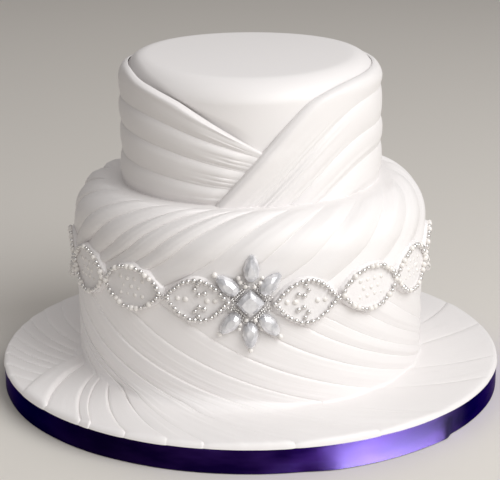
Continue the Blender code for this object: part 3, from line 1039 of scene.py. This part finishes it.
# Balls of silver and of pearl, along the plaques' edges and round the brooch. Sizes are radii. Spots
# are in mm from a plaque's middle, as (away from the brooch, up), or from the brooch's.
beads = {
    "silver": 1.48 * mm,
    "pearl": 1.48 * mm,
    "largePearl": 1.7 * mm,
    "tip": 1.6 * mm,  # at the stones' tips
    "link": 1.2 * mm,  # beside the top and bottom stones
    "dot": 1.7 * mm,
    "faintDot": 1.5 * mm,
    "tiny": 0.68 * mm,
    "endBead": 0.952 * mm,
    "spacing": 3.2 * mm,
    "inset": 1.75 * mm,
    "sink": 0.35,  # share of the radius that is set in
    "uneven": 0.17 * mm,  # how far they lie off their row
    "runs": "sssPsssPssPPssPp",  # silver, pearl or large pearl along an edge
    "sideRuns": "ssPspPsP",  # the same on the plaques at either side
    "sidePlaques": (3, 12),
    # on the two plaques beside the brooch
    "curl": ((-1.0, 9.2), (0.8, 6.4), (-1.4, 3.4), (-4.7, 4.4)),
    "dots": (-11.0, -6.6, 6.2, 10.6),
    "end": ((19.4, 0.9), (19.6, -1.3), (21.4, -0.1)),
    # on the others
    "dotRows": (-4.6, 0.0, 4.6),
    "dotStart": -8.1,
    "dotStep": 5.4,
    # round the brooch
    "links": ((2.5, 9.7), (5.3, 12.0), (6.4, 14.9)),
    "tinyRows": (7.5, 8.9, 10.3),
    "tinyStart": -6.2,
    "tinyStep": 1.45,
    "gapInLast": 3.5,  # the third row leaves the middle of each side free
}


class Balls:
    # balls collected as (angle, climb, lift, radius), then joined into one mesh
    def __init__(self, name, material, seed):
        self.name = name
        self.material = material
        self.balls = []
        self.chance = np.random.default_rng(seed)

    def put(self, spot, lift, radius):
        shift = self.chance.normal(0.0, beads["uneven"], 2)
        angle, climb = spot[0] + math.degrees(shift[0] / beltRadius), spot[1] + shift[1]
        self.balls.append((angle, climb, lift, radius * self.chance.uniform(0.9, 1.1)))

    def make(self):
        shape = bmesh.new()
        single = bpy.data.meshes.new("single")
        for angle, climb, lift, radius in self.balls:
            spot = onBelt(angle, climb, lift + radius * (1 - beads["sink"]))
            stand = Matrix.Translation(spot) @ Matrix.Rotation(math.radians(angle), 4, "Z")
            squash = Matrix.Diagonal((1.0, self.chance.uniform(0.86, 1.0), 1.0, 1.0))
            sides = 8 if radius < 0.9 * mm else 12
            ball = bmesh.new()
            bmesh.ops.create_uvsphere(
                ball, u_segments=sides, v_segments=sides // 2 + 1, radius=radius, matrix=stand @ squash
            )
            ball.to_mesh(single)
            ball.free()
            shape.from_mesh(single)
        bpy.data.meshes.remove(single)
        finishPiece(meshOf(shape, self.name), self.material, "pearl_crystal")


silverBeads = Balls("silverBeads", silver, 71)
pearlBeads = Balls("ivoryPearls", pearl, 73)


def dressBeside(plaque, lift):
    for flip in (1, -1):
        for x, up in beads["curl"]:
            spot = plaque.spot(x * plaque.hand * mm, flip * up * mm)
            silverBeads.put(spot, lift - 0.8 * mm, beads["silver"])
    for x in beads["dots"]:
        pearlBeads.put(plaque.spot(x * mm, 0.0), lift - 2.0 * mm, beads["dot"])
    for x, up in beads["end"]:
        silverBeads.put(plaque.spot(x * plaque.hand * mm, up * mm), lift, beads["endBead"])


def dressUsual(plaque, lift):
    for row, up in enumerate(beads["dotRows"]):
        start = beads["dotStart"] + row % 2 * beads["dotStep"] / 2
        for x in np.arange(start, 9.0, beads["dotStep"]):
            pearlBeads.put(plaque.spot(x * mm, up * mm), lift - 2.17 * mm, beads["faintDot"])


def dressPlaques():
    lift = belt["thickness"] - 0.25 * mm
    for plaque in plaques:
        beside = plaque.number in (0, belt["count"] - 1)
        runs = "s" if beside else beads["sideRuns" if plaque.number in beads["sidePlaques"] else "runs"]
        for index, (x, up) in enumerate(plaque.walk(beads["inset"], beads["spacing"])):
            kind = runs[(index * plaque.hand + plaque.number * 7) % len(runs)]
            if kind == "s":
                silverBeads.put(plaque.spot(x, up), lift, beads["silver"])
            else:
                pearlBeads.put(plaque.spot(x, up), lift, beads["pearl" if kind == "p" else "largePearl"])
        dress = dressBeside if beside else dressUsual
        dress(plaque, lift)


dressPlaques()


# The brooch's stones, cut with flat facets, and the beads between them. Levels are (reach, rise) as
# shares of the girdle's size and of the height, from the girdle up.
brooch = {
    "square": 12.4 * mm,
    "squareHeight": 5.4 * mm,
    "squareLevels": ((0.93, 0.3), (0.6, 0.5)),
    "dropLength": 16.0 * mm,
    "dropWidth": 9.0 * mm,
    "dropHeight": 4.8 * mm,
    "dropLevels": ((0.84, 0.45), (0.42, 0.32)),
    "dropShift": 0.14,  # how far the table lies towards the round end, as a share of the length
    # direction in degrees from the viewer's right, and distance in mm
    "drops": {
        "top": (88, 20.0), "upper_left": (141, 16.2), "lower_left": (227, 16.6),
        "bottom": (270, 18.9), "lower_right": (309, 16.8), "upper_right": (45, 15.6),
    },
    "pearlTips": ("upper_left", "lower_left", "bottom", "lower_right"),
}


def broochFrame(sideways, upwards, turn):
    angle = sideways / beltRadius
    height = lower["base"] + beltClimb + upwards
    point = Vector((beltRadius * math.sin(angle), -beltRadius * math.cos(angle), height))
    stand = Matrix.Rotation(angle, 4, "Z") @ Matrix.Rotation(quarter, 4, "X")
    return Matrix.Translation(point) @ stand @ Matrix.Rotation(turn, 4, "Z")


def makeGem(name, outline, corners, levels, height, stand, node, shift=0.0):
    shape = bmesh.new()
    bmesh.ops.create_cone(shape, cap_ends=True, segments=corners, radius1=1.0, radius2=1.0, depth=0.25)
    table = max(shape.faces, key=lambda face: face.calc_center_median().z)
    reach = 1.0
    for nextReach, rise in levels:
        bmesh.ops.inset_region(shape, faces=[table], thickness=reach - nextReach, depth=rise)
        reach = nextReach
    for vertex in shape.verts:
        turn = math.atan2(vertex.co.y, vertex.co.x)
        span = math.hypot(vertex.co.x, vertex.co.y)
        x, y = outline(turn)
        vertex.co = (x * span - shift * (1 - span), y * span, (vertex.co.z + 0.125) * height)
    bmesh.ops.recalc_face_normals(shape, faces=shape.faces)
    shape.transform(stand)
    mesh = meshOf(shape, name)
    finishPiece(mesh, crystal, "pearl_crystal", node)
    mesh.shade_flat()


def squareOutline(turn):
    corner = (abs(math.cos(turn)) ** 7 + abs(math.sin(turn)) ** 7) ** (-1 / 7)
    half = brooch["square"] / 2
    return half * corner * math.cos(turn), half * corner * math.sin(turn)


def dropOutline(turn):
    taper = 1 - 0.24 * math.cos(turn) - 0.06 * math.cos(turn) ** 2
    return brooch["dropLength"] / 2 * math.cos(turn), brooch["dropWidth"] / 2 * math.sin(turn) * taper


def besideBrooch(sideways, upwards):
    return math.degrees(sideways * mm / beltRadius), beltClimb + upwards * mm


def makeStones():
    stand = broochFrame(0.0, 0.0, math.pi / 4)
    makeGem("stoneSquare", squareOutline, 8, brooch["squareLevels"], brooch["squareHeight"], stand,
            "stone_square")
    for place, (direction, distance) in brooch["drops"].items():
        turn = math.radians(direction)
        stand = broochFrame(distance * mm * math.cos(turn), distance * mm * math.sin(turn), turn)
        name = "stone" + "".join(word.capitalize() for word in place.split("_"))
        makeGem(name, dropOutline, 10, brooch["dropLevels"], brooch["dropHeight"], stand,
                f"stone_{place}", brooch["dropLength"] * brooch["dropShift"])
        if place in brooch["pearlTips"]:
            reach = distance + brooch["dropLength"] / mm / 2 + 0.6
            spot = besideBrooch(reach * math.cos(turn), reach * math.sin(turn))
            pearlBeads.put(spot, 0.2 * mm, beads["tip"])


def dressBrooch():
    for side in (1, -1):  # ivory pearls either side of the top and bottom stones
        for flip in (1, -1):
            for x, up in beads["links"]:
                pearlBeads.put(besideBrooch(side * x, flip * up), 0.6 * mm, beads["link"])
    last = len(beads["tinyRows"]) - 1
    for corner in range(4):  # rows of tiny silver along each side of the square
        turn = math.radians(45 + corner * 90)
        for row, away in enumerate(beads["tinyRows"]):
            for slide in np.arange(beads["tinyStart"] + 0.7 * (row % 2), 6.5, beads["tinyStep"]):
                if row == last and abs(slide) < beads["gapInLast"]:
                    continue
                x = away * math.cos(turn) - slide * math.sin(turn)
                up = away * math.sin(turn) + slide * math.cos(turn)
                silverBeads.put(besideBrooch(x, up), 0.3 * mm, beads["tiny"])


makeStones()
dressBrooch()
silverBeads.make()
pearlBeads.make()
print("belt, brooch and beads made")

# The CAD pieces that stay on show.
for node, material in (("lower_tier", icing), ("board_icing", icing), ("board_drum", foil)):
    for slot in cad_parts[node].material_slots:
        slot.material = material


# Floor, lights and camera.
studio = {
    "floor": (0.74, 0.71, 0.66),
    "floorReach": 20.0,
    "world": (1.0, 0.96, 0.945),
    "worldStrength": 0.312,
    "lights": {
        "key": {"azimuth": 54, "elevation": 40, "distance": 1.9, "size": 1.5, "power": 25.7},
        "fill": {"azimuth": 20, "elevation": 32, "distance": 1.9, "size": 1.2, "power": 6.8},
        "back": {"azimuth": 180, "elevation": 50, "distance": 1.9, "size": 1.5, "power": 2},
        "low": {
            "azimuth": 57, "elevation": 9, "distance": 1.6, "size": 1.5, "power": 145,
            "only": ["satinRibbon"],
        },
        "side": {
            "azimuth": -35, "elevation": 22, "distance": 1.9, "size": 1.5, "power": 3.3,
            "only": ["skirtApron", "skirtPleats", "boardPleatsLeft", "boardPleatsSide"],
        },
    },
    "target": (0.0, 0.0, 0.1),
    "camera": {"lens": 104.3, "sensor": 36.0, "place": (0.0, -0.8553, 0.3457), "down": 17.01, "roll": -0.33},
}


def makeFloor():
    shape = bmesh.new()
    bmesh.ops.create_grid(shape, x_segments=4, y_segments=4, size=studio["floorReach"])
    mesh = meshOf(shape, "floor")
    paint = Recipe("paleFloor", {"Base Color": (*studio["floor"], 1.0), "Roughness": 0.8})
    mesh.materials.append(paint.material)
    addObject("floor", mesh)


def addLight(name, look):
    lamp = bpy.data.lights.new(name, "AREA")
    lamp.shape = "DISK"
    lamp.size = look["size"]
    lamp.energy = look["power"]
    azimuth, elevation = math.radians(look["azimuth"]), math.radians(look["elevation"])
    level = math.cos(elevation)
    away = Vector((math.sin(azimuth) * level, -math.cos(azimuth) * level, math.sin(elevation)))
    light = addObject(name, lamp)
    light.location = Vector(studio["target"]) + away * look["distance"]
    light.rotation_euler = away.to_track_quat("Z", "Y").to_euler()
    if "only" in look:  # a light for a few pieces alone
        lit = bpy.data.collections.new(name)
        for piece in look["only"]:
            lit.objects.link(bpy.data.objects[piece])
        light.light_linking.receiver_collection = lit


def addCamera():
    look = studio["camera"]
    eye = bpy.data.cameras.new("camera")
    eye.sensor_width = look["sensor"]
    eye.lens = look["lens"]
    camera = addObject("camera", eye)
    tilt = Matrix.Rotation(math.radians(90 - look["down"]), 4, "X")
    roll = Matrix.Rotation(math.radians(look["roll"]), 4, "Z")
    camera.matrix_world = Matrix.Translation(look["place"]) @ tilt @ roll
    bpy.context.scene.camera = camera


makeFloor()
for lampName, look in studio["lights"].items():
    addLight(lampName + "Light", look)
addCamera()
world = bpy.data.worlds.new("studio")
world.use_nodes = True
background = world.node_tree.nodes["Background"].inputs
background["Color"].default_value = (*studio["world"], 1.0)
background["Strength"].default_value = studio["worldStrength"]
bpy.context.scene.world = world
bpy.context.scene.view_settings.view_transform = "Standard"
print("studio made")
